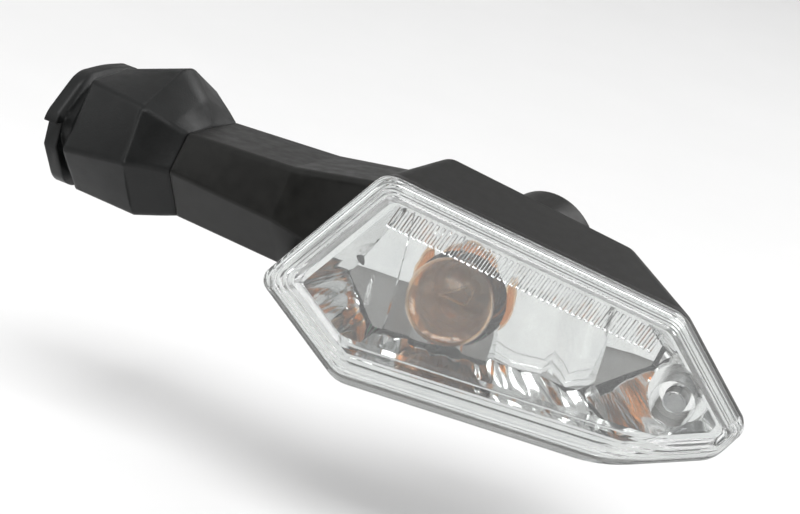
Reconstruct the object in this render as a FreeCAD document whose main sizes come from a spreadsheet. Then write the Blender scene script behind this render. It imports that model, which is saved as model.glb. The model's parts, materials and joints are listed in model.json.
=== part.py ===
import FreeCAD, Part
import math
import os
import Sketcher
from FreeCAD import Placement, Rotation, Vector

# A stalk-mounted motorcycle turn signal indicator.
#
# Row frame: origin at the middle of the mounting flange's inner face, +X outboard along the
# stalk, -Y the way the lens faces, +Z up.
#
# Two more frames are used.  The lamp frame has "along" (its X) down the length of the lens,
# "depth" (its Y) back into the housing and "up" (its Z); it is turned about Z so that the outer
# tip sweeps back.  The bulb frame has its Z along the bulb, from the socket towards the glass.

SIZES = {
    # lamp frame and bulb frame
    "lamp_x": 62.0, "lamp_y": -13.0, "lamp_turn": 12.0,
    "bulb_along": 30.4, "bulb_up": -8.2, "bulb_depth": 7.9, "bulb_tilt": 12.5, "bulb_yaw": 17.0,
    # corners of the lens rim, lamp frame
    "inner_along": -7.6, "inner_up": -13.4,
    "peak_along": 12.3, "peak_up": 15.6,
    "shoulder_along": 77.5, "shoulder_up": 6.4,
    "tip_along": 95.6, "tip_up": -12.2,
    "chin_along": 91.3, "chin_up": -20.0,
    "keel_along": 70.0, "keel_up": -28.7,
    "heel_along": 13.2, "heel_up": -29.2,
    # lens
    "lens_skirt": 1.6, "lens_depth": 7.6, "lens_wall": 2.0,
    "bevel_inner": 4.0, "bevel_top": 1.6, "bevel_outer": 1.5, "bevel_tip": 2.0,
    "bevel_keel": 4.5, "bevel_bottom": 9.7, "bevel_heel": 7.4,
    "boss_along": 81.2, "boss_up": -10.2, "boss_radius": 4.6, "boss_end": 3.0,
    "screw_hole_radius": 2.05, "screw_hole_depth": 7.0,
    # housing
    "rim_depth": 4.0, "rim_inset": 0.5, "rim_wall": 3.4, "housing_depth": 22.0,
    "housing_wall": 2.2, "hump_radius": 11.6, "hump_root_radius": 13.0, "hump_wall": 2.2,
    "hump_end": 11.2, "hump_root": 16.0, "pillar_radius": 6.4, "pillar_seat": 8.0,
    "screw_pocket_radius": 4.6, "groove_inset": 1.1, "groove_width": 1.2, "groove_depth": 1.2,
    "lead_slot_half": 2.6, "lead_slot_reach": 11.6,
    # stalk and neck
    "seam_x": 29.0, "stalk_end_x": 74.0, "stalk_wall": 2.6, "neck_start_x": 16.0,
    "neck_half_width": 8.0, "neck_half_height": 5.5, "neck_bore_radius": 3.2,
    # rubber boot
    "flange_half_width": 19.6, "flange_thick": 3.0,
    "groove_outer_x": 5.5, "panel_groove_depth": 2.2,
    "notch_depth": 2.6, "notch_half_height": 3.8, "notch_up": -1.4, "boot_gap": 0.3,
    "cavity_half_width": 12.4, "cavity_half_height": 7.4,
    # base plate with two weld nuts
    "plate_half_width": 13.0, "plate_half_height": 7.8, "plate_inner_x": 3.0,
    "plate_outer_x": 5.5, "cable_radius": 3.2, "mount_screw_y": 8.5, "mount_hole_radius": 2.1,
    "weld_nut_radius": 3.4, "weld_nut_thick": 3.0,
    "mouth_half_width": 11.6, "mouth_half_height": 6.2,
    # retainer on the neck's end
    "retainer_half_width": 10.0, "retainer_half_height": 6.6, "retainer_thick": 1.5,
    "retainer_screw_y": 6.0, "retainer_screw_radius": 1.2, "retainer_head_radius": 1.9,
    "retainer_head_thick": 1.1, "retainer_screw_reach": 8.0,
    # reflector
    "reflector_inset": 4.4, "reflector_front": 0.6, "reflector_depth": 13.0,
    "reflector_wall": 1.1, "reflector_hole_radius": 9.9,
    # bulb and socket, bulb frame
    "globe_radius": 9.2, "globe_centre": 27.5, "glass_neck_radius": 6.4, "glass_wall": 0.7,
    "cap_radius": 7.5, "cap_length": 17.0, "cap_wall": 0.4, "cap_floor": 1.4,
    "pin_radius": 1.0, "pin_reach": 8.7, "pin_height": 6.8, "nib_radius": 1.7,
    "socket_radius": 7.8, "socket_wall": 0.55, "socket_front": 9.6, "socket_back": 7.2,
    "slot_lip": 7.95, "press_travel": 1.5, "turn_travel": 20.0,
    "carrier_radius": 7.1, "carrier_top": 1.15, "carrier_thick": 1.3,
    "spring_radius": 5.4, "spring_wire": 0.35, "spring_turns": 2.0,
    "base_thick": 1.3, "lead_radius": 0.8, "lead_pitch": 1.25, "lead_drop": 10.4,
}

doc = FreeCAD.newDocument("turn_signal")
sheet = doc.addObject("Spreadsheet::Sheet", "sizes")
for row, (alias, number) in enumerate(SIZES.items(), start=1):
    cell = "B%d" % row
    sheet.set("A%d" % row, alias)
    sheet.set(cell, repr(number))
    sheet.setAlias(cell, alias)
doc.recompute()

parts = []          # every sub-part that is written, in order


def size(alias):
    """The number in the sheet's cell of that name."""
    return float(sheet.get(alias))


# ---------------------------------------------------------------- frames

X_AXIS = Vector(1, 0, 0)
Y_AXIS = Vector(0, 1, 0)
Z_AXIS = Vector(0, 0, 1)
ROW = Placement()
LAMP = Placement(Vector(size("lamp_x"), size("lamp_y"), 0), Rotation(Z_AXIS, size("lamp_turn")))


def bulb_in_lamp():
    """Bulb frame in the lamp frame: Z runs forward and down out of the socket."""
    tilt = math.radians(size("bulb_tilt"))
    out = Vector(0, -math.cos(tilt), -math.sin(tilt))
    centre = Vector(size("bulb_along"), size("bulb_depth"), size("bulb_up"))
    turn = Rotation(X_AXIS, 90 + size("bulb_tilt"))
    straight = Rotation(Z_AXIS, -size("bulb_yaw"))
    out = straight.multVec(out)
    return Placement(centre - out * size("globe_centre"), straight.multiply(turn))


BULB_IN_LAMP = bulb_in_lamp()
BULB = LAMP.multiply(BULB_IN_LAMP)


# ---------------------------------------------------------------- outlines

SIDES = ("inner", "top", "outer", "tip", "keel", "bottom", "heel")
CORNERS = ("inner", "peak", "shoulder", "tip", "chin", "keel", "heel")
CORNER_RADII = (3.0, 4.0, 6.0, 2.5, 9.0, 30.0, 7.0)
FRONT_RADII = (2.5, 3.0, 4.0, 1.0, 1.2, 18.0, 4.0)


def rim_corners():
    """Corners of the lens rim in the lamp frame, clockwise from the inner one."""
    return [Vector(size(name + "_along"), size(name + "_up"), 0) for name in CORNERS]


def inset(corners, amounts):
    """Move each side of a clockwise polygon inwards by its own amount."""
    count = len(corners)
    lines = []
    for index in range(count):
        start = corners[index]
        run = (corners[(index + 1) % count] - start).normalize()
        inward = Vector(run.y, -run.x, 0)
        lines.append((start + inward * amounts[index], run))
    moved = []
    for index in range(count):
        point_a, run_a = lines[index - 1]
        point_b, run_b = lines[index]
        cross = run_a.x * run_b.y - run_a.y * run_b.x
        gap = point_b - point_a
        reach = (gap.x * run_b.y - gap.y * run_b.x) / cross
        moved.append(point_a + run_a * reach)
    return moved


def evenly(corners, amount):
    """The polygon with every side moved inwards by one amount."""
    return inset(corners, [amount] * len(corners))


def rounded(corners, radii):
    """Lines and arcs of a polygon whose corners are rounded."""
    count = len(corners)
    tangents = []
    for index in range(count):
        corner = corners[index]
        back = (corners[index - 1] - corner).normalize()
        ahead = (corners[(index + 1) % count] - corner).normalize()
        half = back.getAngle(ahead) / 2
        reach = radii[index] / math.tan(half)
        bisector = (back + ahead).normalize()
        middle = corner + bisector * (radii[index] / math.sin(half) - radii[index])
        tangents.append((corner + back * reach, middle, corner + ahead * reach))
    pieces = []
    for index in range(count):
        start, middle, end = tangents[index]
        pieces.append(Part.Arc(start, middle, end))
        pieces.append(Part.LineSegment(end, tangents[(index + 1) % count][0]))
    return pieces


def oval(half_width, half_height):
    """Lines and arcs of a slot shape that is longer across than up."""
    radius = half_height
    run = half_width - radius
    right = Part.Arc(Vector(run, -radius, 0), Vector(half_width, 0, 0), Vector(run, radius, 0))
    left = Part.Arc(Vector(-run, radius, 0), Vector(-half_width, 0, 0), Vector(-run, -radius, 0))
    return [
        right,
        Part.LineSegment(Vector(run, radius, 0), Vector(-run, radius, 0)),
        left,
        Part.LineSegment(Vector(-run, -radius, 0), Vector(run, -radius, 0)),
    ]


def polygon(corners):
    """Lines round a polygon."""
    count = len(corners)
    return [Part.LineSegment(corners[i], corners[(i + 1) % count]) for i in range(count)]


# ---------------------------------------------------------------- document helpers

def new_body(name, placement=ROW):
    """A PartDesign body that becomes one written sub-part."""
    body = doc.addObject("PartDesign::Body", name)
    body.Label = name
    body.Placement = placement
    parts.append(body)
    return body


def plane_of(body, role):
    """The body's own origin plane with that role."""
    for feature in body.Origin.OriginFeatures:
        if feature.Role == role:
            return feature
    raise ValueError(role)


def new_sketch(body, name, role, geometry, offset="0", turn=Rotation(), base=(0, 0)):
    """A sketch on an origin plane; offset is an expression for its distance along the normal."""
    sketch = body.newObject("Sketcher::SketchObject", name)
    sketch.AttachmentSupport = (plane_of(body, role), "")
    sketch.MapMode = "FlatFace"
    sketch.AttachmentOffset = Placement(Vector(base[0], base[1], 0), turn)
    sketch.setExpression("AttachmentOffset.Base.z", offset)
    sketch.addGeometry(geometry, False)
    return sketch


def new_circle(body, name, role, radius, offset="0", turn=Rotation(), base=("0", "0")):
    """A sketch of one circle whose radius and place are bound to the sheet."""
    circle = Part.Circle(Vector(0, 0, 0), Z_AXIS, 1.0)
    sketch = new_sketch(body, name, role, [circle], offset, turn)
    sketch.setExpression("AttachmentOffset.Base.x", base[0])
    sketch.setExpression("AttachmentOffset.Base.y", base[1])
    sketch.addConstraint(Sketcher.Constraint("Coincident", 0, 3, -1, 1))
    sketch.addConstraint(Sketcher.Constraint("Radius", 0, 1.0))
    sketch.renameConstraint(1, "radius")
    sketch.setExpression("Constraints.radius", radius)
    return sketch


def loft(body, kind, sketches):
    """An additive or subtractive ruled loft through sketches."""
    feature = body.newObject("PartDesign::%sLoft" % kind, body.Label + "_" + kind.lower())
    feature.Profile = sketches[0]
    feature.Sections = sketches[1:]
    feature.Ruled = True
    doc.recompute()
    return feature


def pad(body, sketch, length, flip=False):
    """A pad whose length is an expression."""
    feature = body.newObject("PartDesign::Pad", sketch.Name + "_pad")
    feature.Profile = sketch
    feature.setExpression("Length", length)
    feature.Reversed = flip
    doc.recompute()
    return feature


def pocket(body, sketch, length, flip=False):
    """A pocket whose length is an expression; it has to remove something."""
    before = body.Shape.Volume
    feature = body.newObject("PartDesign::Pocket", sketch.Name + "_pocket")
    feature.Profile = sketch
    feature.setExpression("Length", length)
    feature.Reversed = flip
    doc.recompute()
    if body.Shape.Volume > before - 0.01:
        raise ValueError("%s removed nothing" % feature.Name)
    return feature


def cylinder(name, radius, height, placement, written=True):
    """A Part cylinder with bound radius and height."""
    shape = doc.addObject("Part::Cylinder", name)
    shape.Label = name
    shape.setExpression("Radius", radius)
    shape.setExpression("Height", height)
    shape.Placement = placement
    if written:
        parts.append(shape)
    return shape


def cut(name, base, tool):
    """A written Part cut."""
    shape = doc.addObject("Part::Cut", name)
    shape.Label = name
    shape.Base = base
    shape.Tool = tool
    parts.append(shape)
    return shape


def own_shape(name, shape, placement=ROW):
    """A written Part feature whose shape is made by this file."""
    feature = doc.addObject("Part::Feature", name)
    feature.Label = name
    feature.Shape = shape
    feature.Placement = placement
    parts.append(feature)
    return feature


def along_x(x, y=0.0, z=0.0):
    """A placement whose Z axis points along the row's +X."""
    return Placement(Vector(x, y, z), Rotation(Y_AXIS, 90))


def in_bulb(z, x=0.0, y=0.0):
    """A placement on the bulb's axis at a height in the bulb frame."""
    return BULB.multiply(Placement(Vector(x, y, z), Rotation()))


# ---------------------------------------------------------------- outlines of the big parts

RIM = rim_corners()
LENS_FRONT = inset(RIM, [size("bevel_" + side) for side in SIDES])
BACK = [
    Vector(7.0, -10.0, 0),
    Vector(18.6, 17.2, 0),
    Vector(62.0, 10.0, 0),
    Vector(75.0, -3.0, 0),
    Vector(74.0, -11.0, 0),
    Vector(60.0, -22.5, 0),
    Vector(18.0, -22.5, 0),
]
BACK_RADII = (3.0, 4.0, 5.0, 3.0, 5.0, 12.0, 6.0)


def lamp_sketch(body, name, corners, depth, radii=CORNER_RADII):
    """A rounded lamp outline at a depth behind the rim; depth is an expression."""
    return new_sketch(body, name, "XZ_Plane", rounded(corners, radii), "-(%s)" % depth)


def stalk_corners(top, middle, bottom):
    """A six-cornered stalk section in the YZ plane from its three front corners."""
    front = [Vector(-bottom[0], bottom[1], 0), Vector(-middle[0], middle[1], 0)]
    front.append(Vector(-top[0], top[1], 0))
    back = [Vector(-corner.x, corner.y, 0) for corner in reversed(front)]
    return front + back


SEAM_SECTION = stalk_corners((10.6, 8.4), (14.8, 0.4), (6.6, -10.6))
WAIST_SECTION = stalk_corners((11.0, 9.6), (14.6, -1.4), (7.0, -11.8))
ROOT_SECTION = stalk_corners((10.4, 13.0), (9.8, -7.0), (8.0, -19.0))
STALK_RADII = (1.2, 1.2, 1.6, 1.6, 1.2, 1.2)
WAIST_X = 54.0


def stalk_sketch(body, name, corners, x, radii=STALK_RADII):
    """A stalk section square to the row's X axis, in a body that lies in the row frame."""
    return new_sketch(body, name, "YZ_Plane", rounded(corners, radii), x)


# ---------------------------------------------------------------- mount: base plate

def make_base():
    """Steel base plate held in the boot, with a cable hole and two threaded weld nuts."""
    body = new_body("base_plate")
    plate = oval(size("plate_half_width"), size("plate_half_height"))
    sketch = new_sketch(body, "plate_outline", "YZ_Plane", plate, "sizes.plate_inner_x")
    pad(body, sketch, "sizes.plate_outer_x - sizes.plate_inner_x")
    for name, side in (("front_nut", "-"), ("rear_nut", "")):
        spot = (side + "sizes.mount_screw_y", "0")
        nut = new_circle(body, name, "YZ_Plane", "sizes.weld_nut_radius", "sizes.plate_outer_x",
                         base=spot)
        pad(body, nut, "sizes.weld_nut_thick")
        hole = new_circle(body, name + "_thread", "YZ_Plane", "sizes.mount_hole_radius",
                          "sizes.plate_inner_x", base=spot)
        pocket(body, hole, "sizes.plate_outer_x - sizes.plate_inner_x + sizes.weld_nut_thick",
               flip=True)
    bore = new_circle(body, "cable_hole", "YZ_Plane", "sizes.cable_radius", "sizes.plate_inner_x")
    pocket(body, bore, "sizes.plate_outer_x - sizes.plate_inner_x", flip=True)
    return body


# ---------------------------------------------------------------- rubber boot

def boot_section(crown, top, middle, bottom):
    """Seven-cornered boot section: a crown and three corners on each side."""
    left = [Vector(-bottom[0], bottom[1], 0), Vector(-middle[0], middle[1], 0)]
    left.append(Vector(-top[0], top[1], 0))
    right = [Vector(-corner.x, corner.y, 0) for corner in reversed(left)]
    return left + [Vector(0, crown, 0)] + right


BOOT_ROOT = boot_section(13.6, (12.8, 12.2), (18.6, -2.4), (9.0, -12.6))
BOOT_SHOULDER = boot_section(19.4, (15.8, 11.6), (18.4, -0.6), (9.0, -13.2))
BOOT_FALL = boot_section(13.6, (12.8, 9.4), (16.2, 0.2), (7.6, -11.6))
BOOT_SEAM = boot_section(8.8, (10.6, 8.4), (14.8, 0.4), (6.6, -10.6))
FLANGE = boot_section(12.8, (10.4, 12.2), (21.0, 2.0), (9.4, -12.8))
FLANGE_RADII = (8.0, 5.0, 8.0, 60.0, 8.0, 5.0, 8.0)
BOOT_RADII = (2.0, 1.5, 1.8, 8.0, 1.8, 1.5, 2.0)
BOOT_SHOULDER_X = 20.0
BOOT_FALL_X = 25.6


def make_boot():
    """Rubber boot: inner flange, panel groove, faceted body, pockets for plate and neck."""
    body = new_body("rubber_boot")
    sketch = new_sketch(body, "boot_flange", "YZ_Plane", rounded(FLANGE, FLANGE_RADII))
    pad(body, sketch, "sizes.flange_thick")
    groove = rounded(evenly(FLANGE, size("panel_groove_depth")), FLANGE_RADII)
    sketch = new_sketch(body, "boot_groove", "YZ_Plane", groove, "sizes.flange_thick")
    pad(body, sketch, "sizes.groove_outer_x - sizes.flange_thick")
    sections = (
        ("boot_root", BOOT_ROOT, "sizes.groove_outer_x"),
        ("boot_shoulder", BOOT_SHOULDER, repr(BOOT_SHOULDER_X)),
        ("boot_fall", BOOT_FALL, repr(BOOT_FALL_X)),
        ("boot_seam", BOOT_SEAM, "sizes.seam_x - sizes.boot_gap"),
    )
    loft(body, "Additive",
         [new_sketch(body, name, "YZ_Plane", rounded(corners, BOOT_RADII), x)
          for name, corners, x in sections])
    side = size("flange_half_width")
    low = size("notch_up") - size("notch_half_height")
    high = size("notch_up") + size("notch_half_height")
    depth = side - size("notch_depth")
    notch = polygon([Vector(-side - 1, low, 0), Vector(-depth, low, 0),
                     Vector(-depth, high, 0), Vector(-side - 1, high, 0)])
    sketch = new_sketch(body, "boot_notch", "YZ_Plane", notch)
    pocket(body, sketch, "sizes.flange_thick", flip=True)
    gap = size("boot_gap")
    neck = oval(size("neck_half_width") + gap, size("neck_half_height") + gap)
    sketch = new_sketch(body, "boot_neck_hole", "YZ_Plane", neck, "sizes.neck_start_x")
    pocket(body, sketch, "sizes.seam_x - sizes.neck_start_x", flip=True)
    room = oval(size("cavity_half_width"), size("cavity_half_height"))
    sketch = new_sketch(body, "boot_cavity", "YZ_Plane", room, "sizes.plate_outer_x")
    pocket(body, sketch, "sizes.neck_start_x + sizes.boot_gap - sizes.plate_outer_x", flip=True)
    plate = oval(size("plate_half_width") + gap, size("plate_half_height") + gap)
    sketch = new_sketch(body, "boot_plate_room", "YZ_Plane", plate,
                        "sizes.plate_inner_x - sizes.boot_gap / 2")
    pocket(body, sketch, "sizes.plate_outer_x - sizes.plate_inner_x + sizes.boot_gap / 2",
           flip=True)
    mouth = oval(size("mouth_half_width"), size("mouth_half_height"))
    sketch = new_sketch(body, "boot_mouth", "YZ_Plane", mouth)
    pocket(body, sketch, "sizes.plate_inner_x", flip=True)
    return body


# ---------------------------------------------------------------- arm: housing with its stalk

def placed_sketch(body, name, geometry, place):
    """A sketch in any plane: place is its placement in the body's own frame."""
    sketch = body.newObject("Sketcher::SketchObject", name)
    sketch.AttachmentSupport = (plane_of(body, "XY_Plane"), "")
    sketch.MapMode = "FlatFace"
    sketch.AttachmentOffset = place
    sketch.addGeometry(geometry, False)
    return sketch


def bulb_sketch(body, name, geometry, height):
    """A sketch square to the bulb's axis in a body that lies in the lamp frame."""
    up = Placement(Vector(0, 0, height), Rotation())
    return placed_sketch(body, name, geometry, BULB_IN_LAMP.multiply(up))


def upright_slot(radius, drop):
    """A round outline stretched downwards by drop."""
    return [
        Part.Arc(Vector(radius, 0, 0), Vector(0, radius, 0), Vector(-radius, 0, 0)),
        Part.LineSegment(Vector(-radius, 0, 0), Vector(-radius, -drop, 0)),
        Part.Arc(Vector(-radius, -drop, 0), Vector(0, -drop - radius, 0), Vector(radius, -drop, 0)),
        Part.LineSegment(Vector(radius, -drop, 0), Vector(radius, 0, 0)),
    ]


HUMP_DROP = 3.2


def make_housing():
    """Moulded housing: lamp shell, socket hump, screw pillar, hollow stalk and neck."""
    body = new_body("housing", LAMP)
    square_to_x = Rotation(Y_AXIS, Z_AXIS, X_AXIS, "ZXY")

    def stalk_plane(name, geometry, x):
        """A sketch square to the row's X axis at x, in this body."""
        in_row = Placement(Vector(x, 0, 0), square_to_x)
        return placed_sketch(body, name, geometry, LAMP.inverse().multiply(in_row))

    seam = size("seam_x")
    end = size("stalk_end_x")
    loft(body, "Additive", [
        stalk_plane("stalk_seam", rounded(SEAM_SECTION, STALK_RADII), seam),
        stalk_plane("stalk_waist", rounded(WAIST_SECTION, STALK_RADII), WAIST_X),
        stalk_plane("stalk_root", rounded(ROOT_SECTION, STALK_RADII), end),
    ])
    neck = oval(size("neck_half_width"), size("neck_half_height"))
    neck_sketch = stalk_plane("neck_outline", neck, size("neck_start_x"))
    pad(body, neck_sketch, "sizes.seam_x - sizes.neck_start_x + 1")
    rim_back = evenly(RIM, size("rim_inset"))
    loft(body, "Additive", [
        lamp_sketch(body, "shell_rim", RIM, "0"),
        lamp_sketch(body, "shell_band", rim_back, "sizes.rim_depth"),
        lamp_sketch(body, "shell_back", BACK, "sizes.housing_depth", BACK_RADII),
    ])
    loft(body, "Additive", [
        bulb_sketch(body, "hump_root_outline", upright_slot(size("hump_root_radius"), HUMP_DROP),
                    size("hump_root")),
        bulb_sketch(body, "hump_end_outline", upright_slot(size("hump_radius"), HUMP_DROP),
                    -size("hump_end")),
    ])
    wall = size("housing_wall")
    loft(body, "Subtractive", [
        lamp_sketch(body, "room_rim", evenly(RIM, size("rim_wall")), "-0.5"),
        lamp_sketch(body, "room_band", evenly(rim_back, size("rim_wall") - 0.4), "sizes.rim_depth"),
        lamp_sketch(body, "room_back", evenly(BACK, wall),
                    "sizes.housing_depth - sizes.housing_wall", BACK_RADII),
    ])
    inner_wall = size("stalk_wall")
    loft(body, "Subtractive", [
        stalk_plane("stalk_room_start", rounded(evenly(SEAM_SECTION, inner_wall), STALK_RADII),
                    seam + inner_wall),
        stalk_plane("stalk_room_waist", rounded(evenly(WAIST_SECTION, inner_wall), STALK_RADII),
                    WAIST_X),
        stalk_plane("stalk_room_end", rounded(evenly(ROOT_SECTION, inner_wall), STALK_RADII), end),
    ])
    neck_bore = Part.Circle(Vector(0, 0, 0), Z_AXIS, size("neck_bore_radius"))
    bore_sketch = stalk_plane("neck_bore", [neck_bore], size("neck_start_x"))
    pocket(body, bore_sketch, "sizes.seam_x - sizes.neck_start_x + 4", flip=True)
    screw_spots = [Part.Circle(Vector(side * size("retainer_screw_y"), 0, 0), Z_AXIS,
                               size("retainer_screw_radius") + 0.02) for side in (-1, 1)]
    spot_sketch = stalk_plane("retainer_holes", screw_spots, size("neck_start_x"))
    pocket(body, spot_sketch, "sizes.retainer_screw_reach + 0.5", flip=True)
    pillar = new_circle(body, "pillar", "XZ_Plane", "sizes.pillar_radius",
                        "-sizes.boss_end - 0.1", base=("sizes.boss_along", "sizes.boss_up"))
    pad(body, pillar, "sizes.pillar_seat + 2 - sizes.boss_end", flip=True)
    bore_room = bulb_sketch(
        body, "socket_bore",
        [Part.Circle(Vector(0, 0, 0), Z_AXIS, size("socket_radius") + size("socket_wall") + 0.05)],
        size("hump_root") + 2)
    pocket(body, bore_room, "sizes.hump_root + 2 + sizes.hump_end - sizes.hump_wall")
    pin_room = bulb_sketch(
        body, "pin_room", [Part.Circle(Vector(0, 0, 0), Z_AXIS, size("pin_reach") + 0.5)],
        size("hump_root") + 2)
    pocket(body, pin_room, "sizes.hump_root + 2.7 + sizes.press_travel"
                           " + sizes.pin_radius - sizes.pin_height")
    half = size("lead_slot_half")
    reach = size("lead_slot_reach")
    slot = polygon([Vector(-half, 0, 0), Vector(half, 0, 0),
                    Vector(half, -reach, 0), Vector(-half, -reach, 0)])
    slot_sketch = bulb_sketch(body, "lead_slot", slot, size("hump_root") + 2)
    pocket(body, slot_sketch, "sizes.hump_root + 2 + sizes.hump_end - sizes.hump_wall")
    screw_hole = new_circle(body, "lens_screw_hole", "XZ_Plane", "sizes.screw_hole_radius + 0.1",
                            base=("sizes.boss_along", "sizes.boss_up"))
    pocket(body, screw_hole, "sizes.housing_depth", flip=False)
    recess = new_circle(body, "lens_screw_recess", "XZ_Plane", "sizes.screw_pocket_radius",
                        "-sizes.housing_depth", base=("sizes.boss_along", "sizes.boss_up"))
    pocket(body, recess, "sizes.housing_depth - sizes.pillar_seat", flip=True)
    groove_outer = rounded(evenly(RIM, size("groove_inset")), CORNER_RADII)
    groove_inner = rounded(evenly(RIM, size("groove_inset") + size("groove_width")), CORNER_RADII)
    groove = new_sketch(body, "gasket_groove", "XZ_Plane", groove_outer + groove_inner)
    pocket(body, groove, "sizes.groove_depth", flip=False)
    return body


def make_gasket():
    """Rubber ring in the housing's groove, level with the rim."""
    body = new_body("lens_gasket", LAMP)
    slack = 0.05
    outer = rounded(evenly(RIM, size("groove_inset") + slack), CORNER_RADII)
    inner = rounded(evenly(RIM, size("groove_inset") + size("groove_width") - slack), CORNER_RADII)
    sketch = new_sketch(body, "gasket_ring", "XZ_Plane", outer + inner)
    pad(body, sketch, "sizes.groove_depth", flip=True)
    return body


def make_lens():
    """Clear lens: skirt, bevelled sides, flat front and the screw boss behind its tip."""
    body = new_body("lens", LAMP)
    loft(body, "Additive", [
        lamp_sketch(body, "lens_rim", RIM, "0"),
        lamp_sketch(body, "lens_skirt_line", RIM, "-sizes.lens_skirt"),
        lamp_sketch(body, "lens_front", LENS_FRONT, "-sizes.lens_depth", FRONT_RADII),
    ])
    wall = size("lens_wall")
    loft(body, "Subtractive", [
        lamp_sketch(body, "lens_room_rim", evenly(RIM, wall), "0.5"),
        lamp_sketch(body, "lens_room_line", evenly(RIM, wall), "-sizes.lens_skirt"),
        lamp_sketch(body, "lens_room_front", evenly(LENS_FRONT, wall * 0.7),
                    "sizes.lens_wall - sizes.lens_depth", FRONT_RADII),
    ])
    boss = new_circle(body, "lens_boss", "XZ_Plane", "sizes.boss_radius", "-sizes.boss_end",
                      base=("sizes.boss_along", "sizes.boss_up"))
    pad(body, boss, "sizes.boss_end + sizes.lens_depth - 1")
    hole = new_circle(body, "lens_boss_hole", "XZ_Plane", "sizes.screw_hole_radius",
                      "-sizes.boss_end", base=("sizes.boss_along", "sizes.boss_up"))
    pocket(body, hole, "sizes.screw_hole_depth", flip=True)
    return body


def screw_shape(shank_radius, reach, head_radius, head_thick):
    """A pan-head screw: shank along +Z from the head's seat at z = 0, with a cross recess."""
    shank = Part.makeCylinder(shank_radius, reach)
    head = Part.makeCylinder(head_radius, head_thick, Vector(0, 0, -head_thick))
    crown = [edge for edge in head.Edges if edge.BoundBox.ZMax < -head_thick + 0.01]
    head = head.makeFillet(head_thick * 0.4, crown)
    blade = head_radius * 0.22
    arm = head_radius * 0.62
    recess = head_thick * 0.5
    bar = Part.makeBox(2 * arm, 2 * blade, recess, Vector(-arm, -blade, -head_thick))
    other = Part.makeBox(2 * blade, 2 * arm, recess, Vector(-blade, -arm, -head_thick))
    return shank.fuse(head).cut(bar.fuse(other)).removeSplitter()


def make_lens_screw():
    """Screw that pulls the lens's boss on to the housing from behind, and its washer."""
    seat = Placement(Vector(size("boss_along"), size("pillar_seat"), size("boss_up")),
                     Rotation(X_AXIS, 90))
    thick = 0.8
    lifted = seat.multiply(Placement(Vector(0, 0, -thick), Rotation()))
    shank = size("screw_hole_radius") - 0.05
    reach = size("pillar_seat") - size("boss_end") + size("screw_hole_depth") - 0.6 + thick
    own_shape("lens_screw", screw_shape(shank, reach, 3.6, 2.4), LAMP.multiply(lifted))
    ring = Part.makeCylinder(4.2, thick).cut(Part.makeCylinder(shank + 0.1, thick))
    own_shape("lens_screw_washer", ring, LAMP.multiply(lifted))


def make_reflector():
    """Bowl of metallised plastic with holes for the bulb and the screw pillar."""
    body = new_body("reflector", LAMP)
    wall = size("reflector_wall")
    mouth = evenly(RIM, size("reflector_inset"))
    floor = evenly(BACK, size("housing_wall") + 3.6)
    loft(body, "Additive", [
        lamp_sketch(body, "bowl_mouth", mouth, "sizes.reflector_front", FRONT_RADII),
        lamp_sketch(body, "bowl_floor", floor, "sizes.reflector_depth", FRONT_RADII),
    ])
    loft(body, "Subtractive", [
        lamp_sketch(body, "bowl_room_mouth", evenly(mouth, wall), "sizes.reflector_front - 0.2",
                    FRONT_RADII),
        lamp_sketch(body, "bowl_room_floor", evenly(floor, wall),
                    "sizes.reflector_depth - sizes.reflector_wall", FRONT_RADII),
    ])
    hole = bulb_sketch(
        body, "bulb_hole",
        [Part.Circle(Vector(0, 0, 0), Z_AXIS, size("reflector_hole_radius"))],
        size("globe_centre") + size("globe_radius"))
    pocket(body, hole, "sizes.globe_centre + sizes.globe_radius")
    clear = new_circle(body, "pillar_clear", "XZ_Plane", "sizes.pillar_radius + 0.4",
                       base=("sizes.boss_along", "sizes.boss_up"))
    pocket(body, clear, "sizes.housing_depth", flip=False)
    return body


def make_retainer():
    """Steel plate on the neck's end that keeps the neck in the boot, and its two screws."""
    body = new_body("retainer_plate")
    outline = oval(size("retainer_half_width"), size("retainer_half_height"))
    face = size("neck_start_x") - size("retainer_thick")
    sketch = new_sketch(body, "retainer_outline", "YZ_Plane", outline,
                        "sizes.neck_start_x - sizes.retainer_thick")
    pad(body, sketch, "sizes.retainer_thick")
    bore = new_circle(body, "retainer_bore", "YZ_Plane", "sizes.neck_bore_radius",
                      "sizes.neck_start_x - sizes.retainer_thick")
    pocket(body, bore, "sizes.retainer_thick", flip=True)
    spots = [Part.Circle(Vector(side * size("retainer_screw_y"), 0, 0), Z_AXIS,
                         size("retainer_screw_radius") + 0.1) for side in (-1, 1)]
    sketch = new_sketch(body, "retainer_spots", "YZ_Plane", spots,
                        "sizes.neck_start_x - sizes.retainer_thick")
    pocket(body, sketch, "sizes.retainer_thick", flip=True)
    screw = screw_shape(size("retainer_screw_radius"), size("retainer_screw_reach"),
                        size("retainer_head_radius"), size("retainer_head_thick"))
    pair = []
    for side in (-1, 1):
        copy = screw.copy()
        copy.Placement = along_x(face, side * size("retainer_screw_y"))
        pair.append(copy)
    own_shape("retainer_screws", Part.makeCompound(pair))


def make_grommet():
    """Rubber gland in the neck's bore, where the leads leave the arm."""
    radius = size("neck_bore_radius") - 0.05
    start = size("neck_start_x") - size("retainer_thick") + 0.2
    length = 9.0
    shape = Part.makeCylinder(radius, length)
    for side in (-1, 1):
        hole = Part.makeCylinder(size("lead_radius"), length, Vector(0, side * size("lead_pitch"), 0))
        shape = shape.cut(hole)
    own_shape("neck_grommet", shape, along_x(start))


# ---------------------------------------------------------------- socket

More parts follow.
